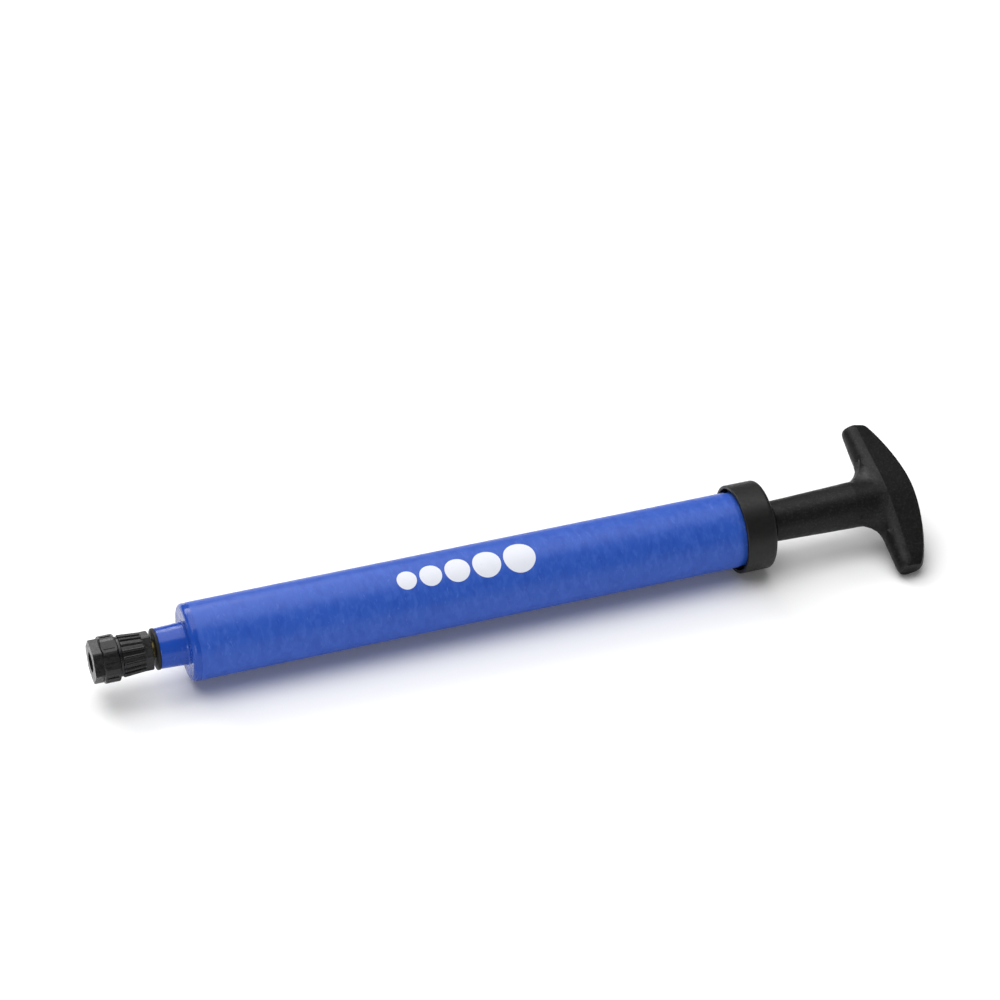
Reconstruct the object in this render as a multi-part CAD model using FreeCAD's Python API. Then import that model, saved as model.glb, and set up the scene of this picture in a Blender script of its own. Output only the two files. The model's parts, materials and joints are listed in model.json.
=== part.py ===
import FreeCAD, Part
import math
import os

# Hand pump for inflating balls: a single-acting plunger pump with a T-handle, lying on its side.
#
# The axis of the pump runs along X, nozzle towards -X and handle towards +X.
# While a piece is modelled, the barrel's shoulder face is x = 0 and the axis is y = z = 0.
# save() then moves every piece by the same amount, so that the pump stands on z = 0 and its
# bounding box is centred on x = 0.
# Lengths are millimetres and angles are degrees.

Vector = FreeCAD.Vector
X_AXIS = Vector(1, 0, 0)
Y_AXIS = Vector(0, 1, 0)
CENTRE = Vector(0, 0, 0)
SIXTH = 60.0
overshoot = 1.0

# Roundings and gaps used on several pieces
small_round = 0.2
edge_round = 0.35
running_gap = 0.05
face_gap = 0.1

# Barrel: one moulding, closed at the front by a shoulder that carries the neck
barrel_r = 13.5
bore_r = 11.7
shoulder_round = 1.5
front_wall = 3.0
neck_length = 9.7
neck_root_r = 7.45
neck_tip_r = 7.05
neck_root_round = 0.7
spigot_front = 199.5
spigot_r = 13.2
bead_front = 204.3
bead_rear = 205.9
bead_r = 14.1
barrel_rear = 207.0

# End cap, snapped over the bead
cap_r = 15.9
cap_front = 200.3
cap_rear = 211.7
cap_rear_round = 1.6
cap_rim_r = 14.75
cap_rim_depth = 3.2
cap_bore_r = spigot_r + running_gap
cap_groove_r = bead_r + running_gap
cap_wall_front = 209.0
boss_r = 7.3
boss_rear = 213.9
boss_bore_r = 5.5

# Guide bush that carries the rod and lets air in beside it
bush_front = 201.0
bush_nose_r = 6.2
vent_grooves = 3
vent_width = 0.9
vent_depth = 0.7

# Rod tube, with a spindle pressed into its front end
rod_r = 4.0
rod_wall = 0.8
rod_front = 17.75
rod_rear = 242.0
journal_r = 2.5
thread_r = 2.0
plug_length = 10.0

# Piston, front to rear
nut_front = 4.0
nut_t = 2.4
nut_flats = 7.0
washer_t = 0.6
washer_r = 4.5
hub_front = nut_front + nut_t + washer_t + face_gap
hub_flange_t = 1.0
hub_flange_r = 5.0
hub_r = 3.6
spreader_front = hub_front + hub_flange_t
spreader_t = 2.0
spreader_r = 8.5
cup_front = spreader_front + spreader_t
cup_t = 2.0
cup_lip_length = 3.6
cup_lip_t = 1.1
cup_lip_r = bore_r - running_gap
cup_taper = 0.4
back_front = cup_front + cup_t
back_t = 3.5
back_r = bore_r - 0.35
back_notches = 6
notch_width = 2.4
notch_depth = 1.1
hub_ring_front = back_front + back_t
hub_ring_rear = hub_ring_front + 1.0
hub_ring_r = 5.2
stop_rear = rod_front + 4.0
stop_r = 7.5
stop_round = 0.8

# Check valve in the neck
valve_bore_r = 2.2
seat_front = 0.7
seat_rear = 1.9
seat_r = 2.7
seat_cone_r = 1.72
seat_hole_r = 1.1
ball_r = 1.75
ball_gap = 0.02
spring_wire = 0.32
spring_r = 1.35
spring_turns = 5
spring_sides = 8
spring_hug = 0.62

# Nozzle: seal washer and threaded nipple, fixed in the neck
neck_tip = -neck_length
neck_washer_t = 1.1
neck_washer_r = 7.2
nipple_seat = neck_tip - neck_washer_t
nipple_tail_r = 3.6
nipple_tail = -5.5
nipple_r = 3.0
nipple_core_r = 2.62
nipple_bore_r = 1.3
nipple_relief = 0.4
thread_pitch = 1.0
thread_half_root = 0.42
thread_half_crest = 0.08

# Nozzle: knurled sleeve that screws onto the nipple
sleeve_rear = nipple_seat - 1.2
sleeve_front = sleeve_rear - 11.6
sleeve_lip_r = 6.9
sleeve_lip_length = 1.0
sleeve_wall = 2.0
sleeve_cavity_r = 5.6
sleeve_turn = 50.0
sleeve_hex_flats = 12.2
sleeve_hex_r = 6.85
sleeve_hex_front = sleeve_rear - 3.0
sleeve_skirt_r = 5.4
ribs = 18
rib_r = 0.6
rib_top_front = 7.3
rib_top_rear = 6.75
nipple_front = sleeve_rear - 4.6

# Nozzle: needle socket that the sleeve draws back against the nipple
ring_rear = sleeve_front - face_gap
ring_front = ring_rear - 5.7
ring_r = 8.15
ring_flats = 15.7
ring_front_round = 0.9
ring_rear_round = 0.6
tip_front = ring_front - 3.1
tip_hex_flats = 13.5
tip_hex_r = 7.65
tip_turn = 24.0
mark_width = 1.0
mark_height = 0.25
socket_r = 3.55
socket_rear = tip_front + 7.0
pocket_r = 3.2
pocket_rear = socket_rear + 1.0
collar_r = 4.5
snap_r = 5.3
snap_front = sleeve_front + sleeve_wall + face_gap
snap_rear = snap_front + 1.6
grommet_r = 4.6
grommet_gap = 0.02

# T-handle: round stem that grows into a crescent grip
bumper_t = 0.8
stem_front = boss_rear + face_gap + bumper_t
stem_front_r = 7.3
stem_rear_r = 8.3
stem_rear = 246.2
stem_top_r = 7.5
grip_inner = 253.5
grip_ridge = 258.6
palm_x = 270.3
palm_arc_r = 66.0
palm_crown = 1.1
grip_half_span = 29.9
grip_half_thick = 7.4
tip_half_thick = 4.0
thinning = 1.6
edge_share = 0.72
bend_share = 0.25
ridge_margin = 0.8
crotch_r = 8.0

# How the pump lies: on the cap's rim, rolled until one tip of the grip is at the same level
axis_height = cap_r
lay_angle = 25.0


def rounded_outline(points):
    """Closed outline in the XY plane. Each point is (x, y) or (x, y, corner radius)."""
    corners = [Vector(p[0], p[1], 0) for p in points]
    radii = [p[2] if len(p) == 3 else 0.0 for p in points]
    count = len(points)
    starts = []
    middles = []
    ends = []
    for i in range(count):
        here = corners[i]
        if radii[i] == 0.0:
            starts.append(here)
            middles.append(None)
            ends.append(here)
            continue
        back = (corners[i - 1] - here).normalize()
        ahead = (corners[(i + 1) % count] - here).normalize()
        half = back.getAngle(ahead) / 2
        tangent = radii[i] / math.tan(half)
        inward = (back + ahead).normalize()
        starts.append(here + back * tangent)
        middles.append(here + inward * (radii[i] / math.sin(half) - radii[i]))
        ends.append(here + ahead * tangent)
    edges = []
    for i in range(count):
        if middles[i] is not None:
            edges.append(Part.Arc(starts[i], middles[i], ends[i]).toShape())
        edges.append(Part.LineSegment(ends[i], starts[(i + 1) % count]).toShape())
    return Part.Wire(edges)


def turned(points):
    """Solid of revolution about the axis, from an outline of (x, radius) points."""
    return Part.Face(rounded_outline(points)).revolve(CENTRE, X_AXIS, 360)


def disc(radius, front, rear):
    return Part.makeCylinder(radius, rear - front, Vector(front, 0, 0), X_AXIS)


def ring(outer, inner, front, rear):
    return disc(outer, front, rear).cut(disc(inner, front - overshoot, rear + overshoot))


def prism(sides, flats, front, rear, turn):
    """Regular prism along the axis. turn is how far above -Y the first flat faces."""
    corner_r = flats / 2 / math.cos(math.pi / sides)
    corners = []
    for i in range(sides + 1):
        angle = math.radians(turn) + (2 * i + 1) * math.pi / sides
        corners.append(Vector(front, -corner_r * math.cos(angle), corner_r * math.sin(angle)))
    return Part.Face(Part.makePolygon(corners)).extrude(Vector(rear - front, 0, 0))


def around(shape, count, first):
    """Evenly spaced copies of a shape about the axis, the first turned by an angle."""
    copies = []
    for i in range(count):
        copy = shape.copy()
        copy.rotate(CENTRE, X_AXIS, first + i * 360.0 / count)
        copies.append(copy)
    return copies


def helix_from(front, radius, pitch, length):
    """Helix along the axis that starts at a given place."""
    helix = Part.Wire(Part.makeHelix(pitch, length, radius))
    helix.rotate(CENTRE, Y_AXIS, 90)
    helix.translate(Vector(front, 0, 0))
    return helix


def make_barrel():
    return turned([
        (neck_tip, nipple_tail_r),
        (neck_tip, neck_tip_r, edge_round),
        (0, neck_root_r, neck_root_round),
        (0, barrel_r, shoulder_round),
        (spigot_front, barrel_r),
        (spigot_front, spigot_r),
        (bead_front, spigot_r),
        (bead_front + bead_r - spigot_r, bead_r),
        (bead_rear, bead_r),
        (bead_rear, spigot_r),
        (barrel_rear, spigot_r, small_round),
        (barrel_rear, bore_r, small_round),
        (front_wall, bore_r, neck_root_round),
        (front_wall, seat_hole_r),
        (seat_rear, seat_hole_r),
        (seat_rear, seat_r),
        (seat_front, seat_r),
        (seat_front, valve_bore_r),
        (nipple_tail, valve_bore_r),
        (nipple_tail, nipple_tail_r),
    ])


def make_end_cap():
    gap_floor = cap_front + cap_rim_depth
    return turned([
        (cap_front, cap_rim_r, small_round),
        (cap_front, cap_r, edge_round),
        (cap_rear, cap_r, cap_rear_round),
        (cap_rear, boss_r, edge_round),
        (boss_rear, boss_r, edge_round),
        (boss_rear, boss_bore_r),
        (cap_wall_front, boss_bore_r),
        (cap_wall_front, cap_bore_r),
        (bead_rear + face_gap, cap_bore_r),
        (bead_rear + face_gap, cap_groove_r),
        (bead_front + bead_r - spigot_r - face_gap, cap_groove_r),
        (bead_front - face_gap, cap_bore_r),
        (gap_floor, cap_bore_r),
        (gap_floor, cap_rim_r),
    ])


def make_guide_bush():
    flange_r = cap_bore_r - running_gap
    bush = turned([
        (bush_front, rod_r + running_gap),
        (bush_front, bush_nose_r, edge_round),
        (barrel_rear, bush_nose_r),
        (barrel_rear, flange_r, small_round),
        (cap_wall_front, flange_r, small_round),
        (cap_wall_front, boss_bore_r - running_gap),
        (boss_rear, boss_bore_r - running_gap, small_round),
        (boss_rear, rod_r + running_gap),
    ])
    length = boss_rear - bush_front + 2 * overshoot
    corner = Vector(bush_front - overshoot, -vent_width / 2, rod_r)
    vent = Part.makeBox(length, vent_width, vent_depth, corner)
    return bush.cut(around(vent, vent_grooves, 0.0))


def make_valve_seat():
    return turned([
        (seat_front, seat_cone_r),
        (seat_front, seat_r),
        (seat_rear, seat_r),
        (seat_rear, seat_hole_r),
        (seat_rear - edge_round, seat_hole_r),
    ])


def ball_centre():
    """Where the closed ball rests, just clear of the seat's cone."""
    cone_length = seat_rear - edge_round - seat_front
    slope = math.atan2(seat_cone_r - seat_hole_r, cone_length)
    apex = seat_front + seat_cone_r / math.tan(slope)
    return apex - (ball_r + ball_gap) / math.sin(slope)


def make_valve_ball():
    return Part.makeSphere(ball_r, Vector(ball_centre(), 0, 0))


def make_valve_spring():
    front = nipple_tail + spring_wire / 2 + ball_gap
    rear = ball_centre() - ball_r * spring_hug - spring_wire
    path = helix_from(front, spring_r, (rear - front) / spring_turns, rear - front)
    start = path.Vertexes[0].Point
    outward = Vector(0, start.y, start.z).normalize()
    corners = []
    for i in range(spring_sides + 1):
        angle = (2 * i + 1) * math.pi / spring_sides
        offset = outward * math.cos(angle) + X_AXIS * math.sin(angle)
        corners.append(start + offset * (spring_wire / 2))
    return path.makePipeShell([Part.makePolygon(corners)], True, True)


def make_neck_washer():
    bore = nipple_r + running_gap
    return turned([
        (nipple_seat, bore),
        (nipple_seat, neck_washer_r, edge_round),
        (neck_tip, neck_washer_r, small_round),
        (neck_tip, bore),
    ])


def make_nipple():
    core = turned([
        (nipple_front, nipple_bore_r),
        (nipple_front, nipple_core_r, small_round),
        (nipple_seat - nipple_relief, nipple_core_r),
        (nipple_seat - nipple_relief, nipple_r),
        (neck_tip, nipple_r),
        (neck_tip, nipple_tail_r),
        (nipple_tail, nipple_tail_r),
        (nipple_tail, nipple_bore_r),
    ])
    front = nipple_front + thread_half_root
    rear = nipple_seat - nipple_relief - thread_half_root
    path = helix_from(front, nipple_core_r, thread_pitch, rear - front)
    outward = Vector(0, path.Vertexes[0].Point.y, path.Vertexes[0].Point.z).normalize()
    root = outward * (nipple_core_r - edge_round / 2)
    crest = outward * nipple_r
    tooth = Part.makePolygon([
        root + Vector(front - thread_half_root, 0, 0),
        crest + Vector(front - thread_half_crest, 0, 0),
        crest + Vector(front + thread_half_crest, 0, 0),
        root + Vector(front + thread_half_root, 0, 0),
        root + Vector(front - thread_half_root, 0, 0),
    ])
    thread = path.makePipeShell([tooth], True, True)
    return core.fuse(thread)


def make_sleeve_shell():
    collar_bore = collar_r + running_gap
    thread_bore = nipple_r + running_gap
    cavity_rear = nipple_front + nipple_relief
    skirt_front = sleeve_hex_front + rib_r
    return turned([
        (sleeve_front, collar_bore),
        (sleeve_front, sleeve_lip_r, edge_round),
        (sleeve_front + sleeve_lip_length, sleeve_lip_r, small_round),
        (sleeve_front + sleeve_lip_length + small_round, rib_top_front - rib_r),
        (skirt_front, rib_top_rear - rib_r),
        (skirt_front, sleeve_skirt_r),
        (sleeve_rear, sleeve_skirt_r),
        (sleeve_rear, thread_bore, small_round),
        (cavity_rear, thread_bore),
        (cavity_rear, sleeve_cavity_r),
        (sleeve_front + sleeve_wall, sleeve_cavity_r),
        (sleeve_front + sleeve_wall, collar_bore),
    ])


def make_rib():
    front = Vector(sleeve_front + sleeve_lip_length + rib_r, 0, rib_top_front - rib_r)
    run = Vector(sleeve_hex_front + small_round, 0, rib_top_rear - rib_r) - front
    return Part.makeCylinder(rib_r, run.Length, front, run).fuse(Part.makeSphere(rib_r, front))


def make_grip_sleeve():
    hexagon = prism(6, sleeve_hex_flats, sleeve_hex_front, sleeve_rear, sleeve_turn)
    rounded = turned([
        (sleeve_hex_front, 0),
        (sleeve_hex_front, sleeve_hex_r),
        (sleeve_rear, sleeve_hex_r, edge_round),
        (sleeve_rear, 0),
    ])
    hollow = disc(sleeve_skirt_r - edge_round, sleeve_hex_front - overshoot, sleeve_rear + overshoot)
    collar = hexagon.common(rounded).cut(hollow)
    return make_sleeve_shell().fuse([collar] + around(make_rib(), ribs, 0.0))


def make_tip_socket():
    joined = ring_front + overshoot
    hexagon = prism(6, tip_hex_flats, tip_front, joined, tip_turn).common(turned([
        (tip_front, 0),
        (tip_front, tip_hex_r, edge_round),
        (joined, tip_hex_r),
        (joined, 0),
    ]))
    band = prism(8, ring_flats, ring_front, ring_rear, tip_turn).common(turned([
        (ring_front, 0),
        (ring_front, ring_r, ring_front_round),
        (ring_rear, ring_r, ring_rear_round),
        (ring_rear, 0),
    ]))
    mark_length = ring_rear - ring_front - 2 * ring_front_round
    corner = Vector(ring_front + ring_front_round, -mark_width / 2, ring_flats / 2 - mark_height)
    mark = Part.makeBox(mark_length, mark_width, 2 * mark_height, corner)
    collar = disc(collar_r, ring_rear - overshoot, snap_rear)
    snap = disc(snap_r, snap_front, snap_rear)
    socket = hexagon.fuse([band, collar, snap] + around(mark, 8, tip_turn - 90.0))
    way_through = disc(nipple_bore_r, tip_front, snap_rear + overshoot)
    pocket = disc(pocket_r, tip_front, pocket_rear)
    mouth = disc(socket_r, tip_front - overshoot, socket_rear)
    return socket.cut([way_through, pocket, mouth])


def make_socket_washer():
    return ring(pocket_r - running_gap, nipple_bore_r, socket_rear, pocket_rear)


def make_tip_grommet():
    return ring(grommet_r, nipple_bore_r, snap_rear, nipple_front - grommet_gap)


def make_piston_hub():
    return turned([
        (hub_front, journal_r + running_gap),
        (hub_front, hub_flange_r, small_round),
        (spreader_front, hub_flange_r),
        (spreader_front, hub_r),
        (hub_ring_rear, hub_r, small_round),
        (hub_ring_rear, journal_r + running_gap),
    ])


def make_spreader_plate():
    return turned([
        (spreader_front, hub_r),
        (spreader_front, spreader_r, edge_round),
        (cup_front, spreader_r),
        (cup_front, hub_r),
    ])


def make_cup_seal():
    lip_front = cup_front - cup_lip_length
    lip_inner_r = cup_lip_r - cup_lip_t
    return turned([
        (lip_front, lip_inner_r, small_round),
        (lip_front, cup_lip_r, edge_round),
        (back_front, cup_lip_r - cup_taper, edge_round),
        (back_front, hub_r),
        (cup_front, hub_r),
        (cup_front, lip_inner_r - cup_taper, edge_round),
    ])


def make_back_plate():
    plate = turned([
        (back_front, hub_r),
        (back_front, back_r, edge_round),
        (hub_ring_front, back_r, edge_round),
        (hub_ring_front, hub_r),
    ])
    corner = Vector(back_front - overshoot, -notch_width / 2, back_r - notch_depth)
    notch = Part.makeBox(back_t + 2 * overshoot, notch_width, 2 * notch_depth, corner)
    return plate.cut(around(notch, back_notches, 0.0))


def make_hub_ring():
    return turned([
        (hub_ring_front, hub_r),
        (hub_ring_front, hub_ring_r),
        (hub_ring_rear, hub_ring_r, small_round),
        (hub_ring_rear, hub_r),
    ])


def make_rod_spindle():
    nut_rear = nut_front + nut_t
    shoulder = hub_ring_rear + face_gap
    return turned([
        (nut_front - edge_round, 0),
        (nut_front - edge_round, thread_r, small_round),
        (nut_rear, thread_r),
        (nut_rear, journal_r),
        (shoulder, journal_r),
        (shoulder, rod_r, small_round),
        (rod_front, rod_r),
        (rod_front, rod_r - rod_wall),
        (rod_front + plug_length, rod_r - rod_wall, edge_round),
        (rod_front + plug_length, 0),
    ])


def make_rod_nut():
    nut = prism(6, nut_flats, nut_front, nut_front + nut_t, SIXTH / 2)
    return nut.cut(disc(thread_r, nut_front - overshoot, nut_front + nut_t + overshoot))


def make_rod_washer():
    front = nut_front + nut_t
    return ring(washer_r, journal_r, front, front + washer_t)


def make_piston_rod():
    return ring(rod_r, rod_r - rod_wall, rod_front, rod_rear)


def make_stop_ring():
    return turned([
        (rod_front, rod_r),
        (rod_front, stop_r, stop_round),
        (stop_rear, stop_r, stop_round),
        (stop_rear, rod_r),
    ])


def make_handle_bumper():
    return ring(stem_front_r - edge_round, rod_r, stem_front - bumper_t, stem_front)


def palm_reach(y):
    """How far along X the palm side of the grip reaches, at a distance y from the axis."""
    return palm_x - palm_arc_r + math.sqrt(palm_arc_r ** 2 - y ** 2)


def grip_thickness(y):
    """Half the grip's thickness at its ridge: thickest over the stem, thinnest at the tips."""
    thinned = math.sin(abs(y) / grip_half_span * math.pi / 2) ** thinning
    return grip_half_thick - (grip_half_thick - tip_half_thick) * thinned


def grip_section(y, shrink):
    """Closed wire across the grip: round inner side, two ridges, two bevels, crowned palm."""
    thick = grip_thickness(y) - shrink
    inner = grip_inner + shrink
    palm = palm_reach(y) - shrink
    edge_x = palm - palm_crown
    edge_z = thick * edge_share
    ridge_x = min(grip_ridge, edge_x - ridge_margin)
    bend_x = inner + (ridge_x - inner) * bend_share
    inner_side = Part.BSplineCurve()
    inner_side.interpolate([
        Vector(ridge_x, y, -thick),
        Vector(bend_x, y, -edge_z),
        Vector(inner, y, 0),
        Vector(bend_x, y, edge_z),
        Vector(ridge_x, y, thick),
    ])
    upper = Vector(edge_x, y, edge_z)
    lower = Vector(edge_x, y, -edge_z)
    return Part.Wire([
        inner_side.toShape(),
        Part.LineSegment(Vector(ridge_x, y, thick), upper).toShape(),
        Part.Arc(upper, Vector(palm, y, 0), lower).toShape(),
        Part.LineSegment(lower, Vector(ridge_x, y, -thick)).toShape(),
    ])


def make_grip():
    """Grip lofted from tip to tip. The last sections shrink to round the tips' edges."""
    half = [(1.0, 0.8), (0.97, 0.25), (0.8, 0.0), (0.55, 0.0), (0.3, 0.0)]
    stations = [(-share * grip_half_span, shrink) for share, shrink in half]
    stations += [(0.0, 0.0)]
    stations += [(share * grip_half_span, shrink) for share, shrink in reversed(half)]
    return Part.makeLoft([grip_section(y, shrink) for y, shrink in stations], True, False, False, 3)


def make_stem():
    return turned([
        (stem_front, 0),
        (stem_front, stem_front_r, edge_round),
        (stem_rear, stem_rear_r),
        (grip_ridge, stem_top_r),
        (grip_ridge, 0),
    ])


def crotch_edges(handle):
    """The edges where the stem runs into the inner side of the grip."""
    found = []
    for edge in handle.Edges:
        box = edge.BoundBox
        spans_crotch = box.XMax - box.XMin > (grip_ridge - grip_inner) / 2
        if spans_crotch and box.XMin > stem_rear and box.XMax < grip_ridge + face_gap:
            if abs(edge.CenterOfMass.y) < stem_rear_r and box.YLength > edge_round:
                found.append(edge)
    return found


def make_t_handle():
    handle = make_grip().fuse(make_stem())
    handle = handle.makeFillet(crotch_r, crotch_edges(handle))
    handle = handle.cut(disc(rod_r, stem_front - overshoot, rod_rear))
    handle.rotate(CENTRE, X_AXIS, lay_angle)
    return handle


def save(name, shape):
    """Move a piece into the pump's own frame and write it as a solid."""
    solids = shape.Solids
    if len(solids) != 1 or not solids[0].isValid():
        raise ValueError(name + " isn't one valid solid")
    solid = solids[0]
    solid.translate(Vector(-(tip_front + palm_x) / 2, 0, axis_height))
    solid.exportStep("parts/" + name + ".step")


def main():
    os.makedirs("parts", exist_ok=True)
    save("barrel", make_barrel())
    save("end_cap", make_end_cap())
    save("guide_bush", make_guide_bush())
    save("valve_seat", make_valve_seat())
    save("valve_ball", make_valve_ball())
    save("valve_spring", make_valve_spring())
    save("neck_washer", make_neck_washer())
    save("nipple", make_nipple())
    save("grip_sleeve", make_grip_sleeve())
    save("tip_socket", make_tip_socket())
    save("socket_washer", make_socket_washer())
    save("tip_grommet", make_tip_grommet())
    save("piston_hub", make_piston_hub())
    save("spreader_plate", make_spreader_plate())
    save("cup_seal", make_cup_seal())
    save("back_plate", make_back_plate())
    save("hub_ring", make_hub_ring())
    save("rod_spindle", make_rod_spindle())
    save("rod_nut", make_rod_nut())
    save("rod_washer", make_rod_washer())
    save("piston_rod", make_piston_rod())
    save("stop_ring", make_stop_ring())
    save("handle_bumper", make_handle_bumper())
    save("t_handle", make_t_handle())


main()
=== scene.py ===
import json
import math

import bmesh
import bpy
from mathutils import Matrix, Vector


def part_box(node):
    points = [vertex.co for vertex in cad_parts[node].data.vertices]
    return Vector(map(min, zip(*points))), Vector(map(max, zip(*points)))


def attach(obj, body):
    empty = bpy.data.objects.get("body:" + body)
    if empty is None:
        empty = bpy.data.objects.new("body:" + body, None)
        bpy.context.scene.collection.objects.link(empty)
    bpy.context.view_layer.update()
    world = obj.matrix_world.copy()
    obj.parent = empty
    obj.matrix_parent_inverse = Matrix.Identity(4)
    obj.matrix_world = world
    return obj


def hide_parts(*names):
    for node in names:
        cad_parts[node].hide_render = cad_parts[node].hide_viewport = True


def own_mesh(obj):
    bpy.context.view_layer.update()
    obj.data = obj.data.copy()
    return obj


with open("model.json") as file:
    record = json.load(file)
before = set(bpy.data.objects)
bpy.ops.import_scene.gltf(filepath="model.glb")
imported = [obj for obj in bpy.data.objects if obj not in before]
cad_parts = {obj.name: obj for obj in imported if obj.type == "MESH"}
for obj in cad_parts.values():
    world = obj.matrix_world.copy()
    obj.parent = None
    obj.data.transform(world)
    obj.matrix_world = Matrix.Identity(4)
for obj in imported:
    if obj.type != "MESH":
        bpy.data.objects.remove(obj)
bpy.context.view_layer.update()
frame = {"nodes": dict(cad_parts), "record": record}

# Ball inflation pump: finishes, printed mark, spring, floor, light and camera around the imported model.
# Lengths are metres. The pump's axis runs along X, nozzle towards -X and handle towards +X.

MM = 0.001

# Camera
camera_azimuth = math.radians(-19.15)
camera_elevation = math.radians(35.26)
camera_distance = 1.1581
camera_target = Vector((-0.00565, 0.0, 0.0490))
focal_length = 121.8
sensor_width = 36.0
nearest_drawn = 0.01

# Studio
world_strength = 0.17
overhead_place = Vector((-0.1, 0.15, 1.3))
overhead_size = (1.7, 1.3)
overhead_power = 19.5
back_place = Vector((-0.3, 1.1, 1.0))
back_size = (1.2, 0.5)
back_power = 12.0
front_place = Vector((-0.7, -1.2, 0.3))
front_size = (0.9, 0.5)
front_power = 6.4
floor_half_side = 3.0
floor_squares = 8
floor_white = (0.94, 0.94, 0.94)
floor_roughness = 0.7

# Printed mark
print_turn = math.radians(27.0)
print_from_shoulder = 97.4 * MM
print_length = 50 * MM
first_disc = 7.0 * MM
last_disc = 11.4 * MM
disc_count = 5
disc_rings = 10
disc_spokes = 64
print_lift = 0.03 * MM
ink_thickness = 0.02 * MM
rim_angle = math.radians(40.0)

# Polished band at the barrel's shoulder, running onto the neck: really glossier, and its colour darkened
# with painted shade
band_start = 0.8 * MM
band_end = 2.0 * MM

# Colours
barrel_blue = (0.021, 0.082, 0.425)
barrel_cloud = (0.044, 0.114, 0.490)
barrel_shade = (0.012, 0.060, 0.365)
barrel_scuff = (0.100, 0.180, 0.580)
# Painted shade: a darker blue for the polished band and the neck
barrel_polished_painted_shade = (0.007, 0.052, 0.340)
cap_black = (0.0065, 0.0062, 0.006)
handle_black = (0.0045, 0.0043, 0.0043)
nozzle_black = (0.0045, 0.0044, 0.0046)
rubber_black = (0.008, 0.008, 0.0085)
acetal_white = (0.62, 0.61, 0.57)
acetal_yellowed = (0.55, 0.53, 0.47)
rod_grey = (0.58, 0.58, 0.60)
ball_grey = (0.64, 0.64, 0.66)
spring_grey = (0.46, 0.46, 0.48)
nipple_brass = (0.16, 0.13, 0.05)
nipple_tarnish = (0.05, 0.045, 0.018)
ink_white = (0.70, 0.72, 0.78)
ink_worn = (0.45, 0.52, 0.76)
ink_thin = (0.60, 0.64, 0.76)

# Where things are
cap_low, cap_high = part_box("end_cap")
axis_z = (cap_low.z + cap_high.z) / 2
barrel_clip = next(m for m in frame["record"]["mounts"] if m["name"] == "barrel_clip")
barrel_r = barrel_clip["dims"]["r_mm"] * MM
shoulder_x = barrel_clip["pos_m"][0]


class Finish:
    """One material: a Principled shader, and short calls for the nodes that vary it."""

    def __init__(self, name, color, roughness, **sockets):
        self.material = bpy.data.materials.new(name)
        self.material.use_nodes = True
        self.tree = self.material.node_tree
        self.shader = self.tree.nodes["Principled BSDF"]
        self.color = color
        self.set("Base Color", (*color, 1.0))
        self.set("Roughness", roughness)
        for socket, value in sockets.items():
            self.set(socket.replace("_", " "), value)
        self.place = self.add("ShaderNodeTexCoord").outputs["Object"]
        self.relief = None

    def set(self, socket, value):
        self.shader.inputs[socket].default_value = value

    def add(self, kind, **settings):
        node = self.tree.nodes.new(kind)
        for name, value in settings.items():
            setattr(node, name, value)
        return node

    def link(self, source, target):
        self.tree.links.new(source, target)

    def stretched(self, stretch):
        """The object's coordinates, scaled differently along each axis."""
        node = self.add("ShaderNodeMapping")
        node.inputs["Scale"].default_value = stretch
        self.link(self.place, node.inputs["Vector"])
        return node.outputs["Vector"]

    def noise(self, scale, detail=3.0, stretch=(1, 1, 1), distortion=0.0):
        node = self.add("ShaderNodeTexNoise")
        node.inputs["Scale"].default_value = scale
        node.inputs["Detail"].default_value = detail
        node.inputs["Distortion"].default_value = distortion
        self.link(self.stretched(stretch), node.inputs["Vector"])
        return node.outputs["Fac"]

    def along_x(self):
        """The object's coordinate along the pump, in metres."""
        node = self.add("ShaderNodeSeparateXYZ")
        self.link(self.place, node.inputs["Vector"])
        return node.outputs["X"]

    def remap(self, value, low, high, start=0.0, end=1.0):
        """Start below low, end above high, and a smooth step between."""
        node = self.add("ShaderNodeMapRange", interpolation_type="SMOOTHSTEP")
        node.inputs["From Min"].default_value = low
        node.inputs["From Max"].default_value = high
        node.inputs["To Min"].default_value = start
        node.inputs["To Max"].default_value = end
        self.link(value, node.inputs["Value"])
        return node.outputs["Result"]

    def scaled(self, value, share):
        node = self.add("ShaderNodeMath", operation="MULTIPLY")
        self.link(value, node.inputs[0])
        node.inputs[1].default_value = share
        return node.outputs[0]

    def total(self, first, second):
        node = self.add("ShaderNodeMath", operation="ADD")
        self.link(first, node.inputs[0])
        self.link(second, node.inputs[1])
        return node.outputs[0]

    def tint(self, factor, color):
        """Blend the colour so far towards another one where factor is high."""
        node = self.add("ShaderNodeMix", data_type="RGBA")
        base = self.shader.inputs["Base Color"]
        if base.is_linked:
            self.link(base.links[0].from_socket, node.inputs["A"])
        else:
            node.inputs["A"].default_value = (*self.color, 1.0)
        node.inputs["B"].default_value = (*color, 1.0)
        self.link(factor, node.inputs["Factor"])
        self.link(node.outputs["Result"], base)

    def mottle(self, noise, low, high, share, color):
        """Tint the places where the noise is high, at most by the given share."""
        self.tint(self.remap(noise, low, high, end=share), color)

    def roughen(self, value):
        self.link(value, self.shader.inputs["Roughness"])

    def uneven(self, noise, least, most):
        """Roughness that wanders between two values."""
        self.roughen(self.remap(noise, low=0.3, high=0.7, start=least, end=most))

    def emboss(self, height, distance, strength=0.5):
        """Add relief of a given depth in metres, on top of the relief so far."""
        node = self.add("ShaderNodeBump")
        node.inputs["Strength"].default_value = strength
        node.inputs["Distance"].default_value = distance
        self.link(height, node.inputs["Height"])
        if self.relief is not None:
            self.link(self.relief, node.inputs["Normal"])
        self.relief = node.outputs["Normal"]
        self.link(self.relief, self.shader.inputs["Normal"])


def lighter(color, share):
    return tuple(min(1.0, c * share) for c in color)


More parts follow.
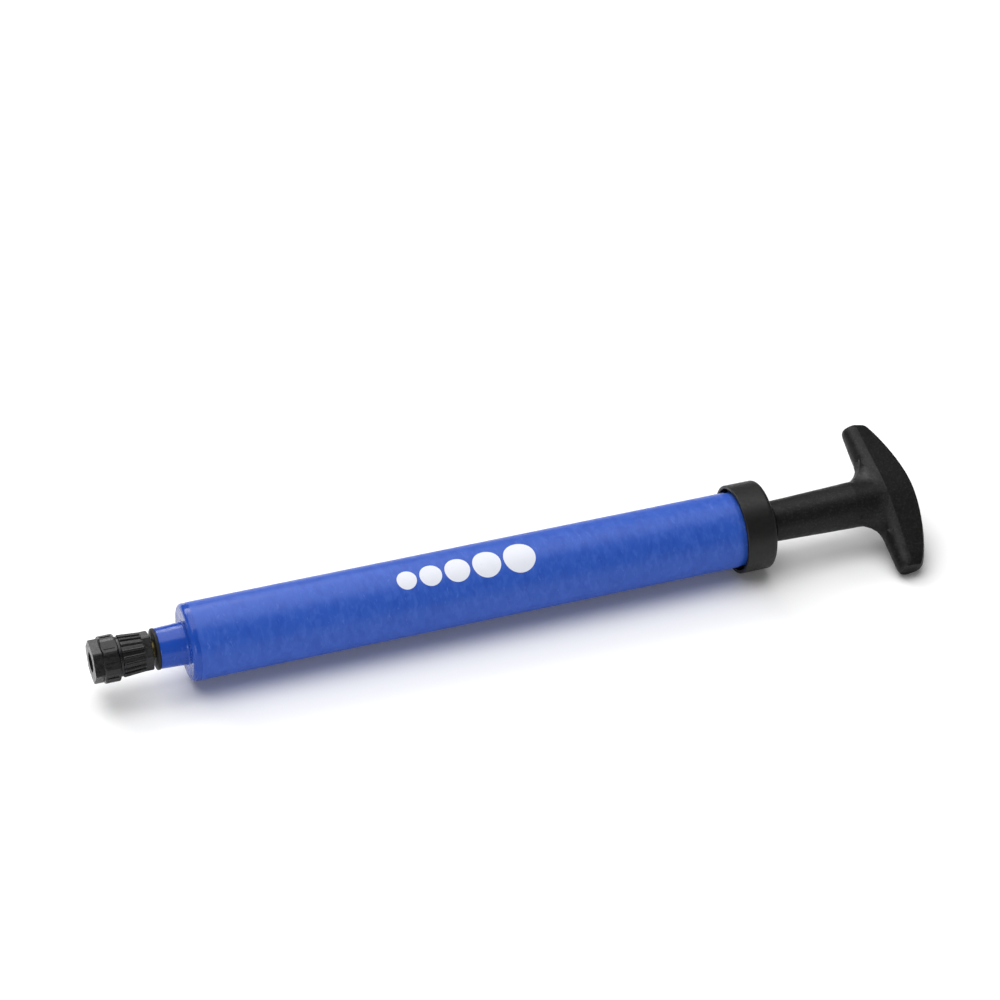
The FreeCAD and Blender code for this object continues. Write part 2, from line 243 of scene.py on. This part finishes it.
def barrel_finish():
    """Blue moulded plastic: cloudy, lightly scuffed, with a polished band at the shoulder whose colour is
    darkened with painted shade.
    """
    f = Finish("barrel_blue", barrel_blue, roughness=0.4, Specular_IOR_Level=0.3, Subsurface_Weight=0.06)
    f.set("Subsurface Scale", 1.2 * MM)
    f.set("Subsurface Radius", (0.3, 0.5, 1.0))
    clouds = f.noise(330, detail=4.0, stretch=(1.7, 0.8, 0.8), distortion=0.6)
    shades = f.noise(240, detail=3.0, stretch=(1.5, 0.8, 0.8), distortion=0.5)
    scratches = f.noise(1.0, detail=2.0, stretch=(900, 300, 300), distortion=0.8)
    scuffs = f.remap(scratches, low=0.66, high=0.74)
    band = f.remap(f.along_x(), shoulder_x + band_start, shoulder_x + band_end, start=1.0, end=0.0)
    f.mottle(clouds, low=0.42, high=0.70, share=0.6, color=barrel_cloud)
    f.mottle(shades, low=0.48, high=0.68, share=0.5, color=barrel_shade)
    f.tint(f.scaled(scuffs, 0.35), barrel_scuff)
    # Painted shade: the band and the neck are tinted darker blue to stand in for the darker look of their
    # gloss; the lower roughness below is real polish.
    f.tint(f.scaled(band, 0.75), barrel_polished_painted_shade)
    satin = f.remap(clouds, low=0.3, high=0.75, start=0.34, end=0.50)
    worn = f.total(satin, f.scaled(scuffs, 0.12))
    f.roughen(f.total(worn, f.scaled(band, -0.2)))
    f.emboss(f.noise(420, detail=2.0), 0.03 * MM)
    f.emboss(f.noise(1700, detail=2.0), 0.006 * MM)
    return f.material


def black_finish(name, color, roughness, shine, grain_scale, grain_depth, fleck):
    """Black moulded plastic with a fine grain and a few paler rubs."""
    f = Finish(name, color, roughness, Specular_IOR_Level=shine)
    grain = f.noise(grain_scale)
    rubs = f.noise(160, detail=4.0, distortion=0.5)
    f.mottle(grain, low=0.48, high=0.72, share=0.8, color=lighter(color, fleck))
    f.mottle(rubs, low=0.56, high=0.78, share=0.35, color=lighter(color, 1.7))
    f.uneven(f.noise(grain_scale / 3, detail=2.0), least=roughness - 0.06, most=roughness + 0.08)
    f.emboss(grain, grain_depth, strength=0.7)
    return f.material


def cap_finish():
    return black_finish(
        "cap_black", cap_black, roughness=0.42, shine=0.27,
        grain_scale=2200, grain_depth=0.010 * MM, fleck=1.6,
    )


def handle_finish():
    return black_finish(
        "handle_black", handle_black, roughness=0.44, shine=0.20,
        grain_scale=1500, grain_depth=0.09 * MM, fleck=4.0,
    )


def nozzle_finish():
    return black_finish(
        "nozzle_black", nozzle_black, roughness=0.30, shine=0.36,
        grain_scale=2400, grain_depth=0.015 * MM, fleck=2.0,
    )


def rubber_finish():
    f = Finish("seal_rubber", rubber_black, roughness=0.55, Specular_IOR_Level=0.25)
    f.mottle(f.noise(900), low=0.5, high=0.8, share=0.5, color=lighter(rubber_black, 2.2))
    f.uneven(f.noise(400), least=0.48, most=0.68)
    f.emboss(f.noise(2600, detail=2.0), 0.01 * MM)
    return f.material


def acetal_finish():
    f = Finish("bush_acetal", acetal_white, roughness=0.35, Subsurface_Weight=0.1, Subsurface_Scale=1 * MM)
    f.mottle(f.noise(180), low=0.45, high=0.8, share=0.5, color=acetal_yellowed)
    f.uneven(f.noise(700, detail=2.0), least=0.28, most=0.42)
    f.emboss(f.noise(1500, detail=2.0), 0.006 * MM)
    return f.material


def steel_finish(name, color, roughness, stretch):
    """Drawn or plated steel, with fine lines and a few dull patches."""
    f = Finish(name, color, roughness, Metallic=1.0)
    lines = f.noise(1.0, stretch=stretch)
    patches = f.noise(120, detail=4.0)
    f.mottle(lines, low=0.4, high=0.7, share=0.5, color=lighter(color, 0.8))
    f.mottle(patches, low=0.58, high=0.8, share=0.35, color=lighter(color, 0.6))
    f.uneven(lines, least=roughness - 0.06, most=roughness + 0.1)
    f.emboss(lines, 0.004 * MM)
    return f.material


def brass_finish():
    f = Finish("nipple_metal", nipple_brass, roughness=0.36, Metallic=1.0)
    f.mottle(f.noise(500, detail=4.0), low=0.45, high=0.7, share=0.8, color=nipple_tarnish)
    f.uneven(f.noise(900), least=0.28, most=0.5)
    f.emboss(f.noise(2500, detail=2.0), 0.006 * MM)
    return f.material


def ink_finish():
    """White pad-printed ink, slightly thin and worn in places."""
    f = Finish("print_white", ink_white, roughness=0.45, Specular_IOR_Level=0.3)
    f.mottle(f.noise(700, detail=4.0), low=0.6, high=0.85, share=0.35, color=ink_worn)
    f.mottle(f.noise(130, detail=2.0), low=0.5, high=0.8, share=0.25, color=ink_thin)
    f.uneven(f.noise(400, detail=2.0), least=0.36, most=0.5)
    f.emboss(f.noise(1800, detail=2.0), 0.004 * MM)
    return f.material


def paint_nodes():
    """Give every CAD node the finish of its material slot."""
    finishes = {
        "barrel_blue": barrel_finish(),
        "cap_black": cap_finish(),
        "handle_black": handle_finish(),
        "nozzle_black": nozzle_finish(),
        "bush_acetal": acetal_finish(),
        "seal_rubber": rubber_finish(),
        "nipple_metal": brass_finish(),
        "rod_steel": steel_finish("rod_steel", rod_grey, roughness=0.26, stretch=(40, 1500, 1500)),
        "ball_steel": steel_finish("ball_steel", ball_grey, roughness=0.14, stretch=(900, 900, 900)),
        "spring_steel": steel_finish("spring_steel", spring_grey, roughness=0.3, stretch=(1200, 1200, 1200)),
    }
    slots = {part["node"]: part["material_slot"] for part in frame["record"]["subparts"]}
    for name, node in frame["nodes"].items():
        node.data.materials.clear()
        node.data.materials.append(finishes[slots[name]])


def placed(name, data):
    """A new object in the scene for this data."""
    item = bpy.data.objects.new(name, data)
    bpy.context.scene.collection.objects.link(item)
    return item


def wrapped(along, around, radius):
    """A point on the barrel's surface, from distances along it and around it."""
    angle = print_turn + around / barrel_r
    return Vector((along, -radius * math.sin(angle), axis_z + radius * math.cos(angle)))


def disc_loop(mesh, centre, reach, surface):
    """One circle of corners around a disc's centre."""
    loop = []
    for spoke in range(disc_spokes):
        turn = 2 * math.pi * spoke / disc_spokes
        point = wrapped(centre + reach * math.cos(turn), reach * math.sin(turn), surface)
        loop.append(mesh.verts.new(point))
    return loop


def disc_sheet(mesh, centre, radius, surface):
    """A filled disc that follows the barrel. Returns its outermost loop."""
    middle = mesh.verts.new(wrapped(centre, 0.0, surface))
    loops = [
        disc_loop(mesh, centre, radius * ring / disc_rings, surface)
        for ring in range(1, disc_rings + 1)
    ]
    for spoke in range(disc_spokes):
        following = (spoke + 1) % disc_spokes
        mesh.faces.new([middle, loops[0][spoke], loops[0][following]])
        for inner, outer in zip(loops, loops[1:]):
            mesh.faces.new([inner[spoke], outer[spoke], outer[following], inner[following]])
    return loops[-1]


def add_disc(mesh, centre, radius):
    """A printed disc as a thin closed film that follows the barrel."""
    low = disc_sheet(mesh, centre, radius, barrel_r + print_lift)
    high = disc_sheet(mesh, centre, radius, barrel_r + print_lift + ink_thickness)
    for spoke in range(disc_spokes):
        following = (spoke + 1) % disc_spokes
        mesh.faces.new([low[spoke], low[following], high[following], high[spoke]])


def make_print():
    """The mark on the barrel: a row of discs that grow, like a ball being filled."""
    growth = (last_disc / first_disc) ** (1 / (disc_count - 1))
    widths = [first_disc * growth ** i for i in range(disc_count)]
    gap = (print_length - sum(widths)) / (disc_count - 1)
    mesh = bmesh.new()
    along = shoulder_x + print_from_shoulder - print_length / 2
    for width in widths:
        add_disc(mesh, along + width / 2, width / 2)
        along += width + gap
    bmesh.ops.recalc_face_normals(mesh, faces=mesh.faces)
    data = bpy.data.meshes.new("ink_print")
    mesh.to_mesh(data)
    mesh.free()
    data.shade_smooth()
    data.set_sharp_from_angle(angle=rim_angle)
    data.materials.append(ink_finish())
    mark = placed("ink_print", data)
    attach(mark, "barrel")


def make_spring():
    """A copy of the valve spring's coil that rides with the valve, in place of the hidden CAD node."""
    data = frame["nodes"]["valve_spring"].data.copy()
    data.name = "squeezed_spring"
    spring = placed("squeezed_spring", data)
    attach(spring, "valve")
    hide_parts("valve_spring")
    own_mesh(spring)


def make_floor():
    mesh = bmesh.new()
    bmesh.ops.create_grid(mesh, x_segments=floor_squares, y_segments=floor_squares, size=floor_half_side)
    data = bpy.data.meshes.new("floor")
    mesh.to_mesh(data)
    mesh.free()
    data.materials.append(Finish("floor_white", floor_white, floor_roughness).material)
    floor = placed("floor", data)


def aim(item, place, target):
    item.location = place
    item.rotation_euler = (target - place).to_track_quat("-Z", "Y").to_euler()


def add_softbox(name, place, size, power):
    light = bpy.data.lights.new(name, "AREA")
    light.shape = "RECTANGLE"
    light.size = size[0]
    light.size_y = size[1]
    light.energy = power
    aim(placed(name, light), place, Vector((0, 0, axis_z)))


def light_studio():
    world = bpy.data.worlds.new("studio")
    bpy.context.scene.world = world
    world.use_nodes = True
    background = world.node_tree.nodes["Background"]
    background.inputs["Color"].default_value = (1.0, 1.0, 1.0, 1.0)
    background.inputs["Strength"].default_value = world_strength
    add_softbox("overhead", overhead_place, overhead_size, overhead_power)
    add_softbox("back", back_place, back_size, back_power)
    add_softbox("front", front_place, front_size, front_power)
    bpy.context.scene.view_settings.view_transform = "Standard"


def place_camera():
    data = bpy.data.cameras.new("camera")
    data.lens = focal_length
    data.sensor_width = sensor_width
    data.clip_start = nearest_drawn
    camera = placed("camera", data)
    level = math.cos(camera_elevation)
    back = Vector((
        math.sin(camera_azimuth) * level,
        -math.cos(camera_azimuth) * level,
        math.sin(camera_elevation),
    ))
    aim(camera, camera_target + back * camera_distance, camera_target)
    bpy.context.scene.camera = camera


paint_nodes()
make_print()
make_spring()
make_floor()
light_studio()
place_camera()
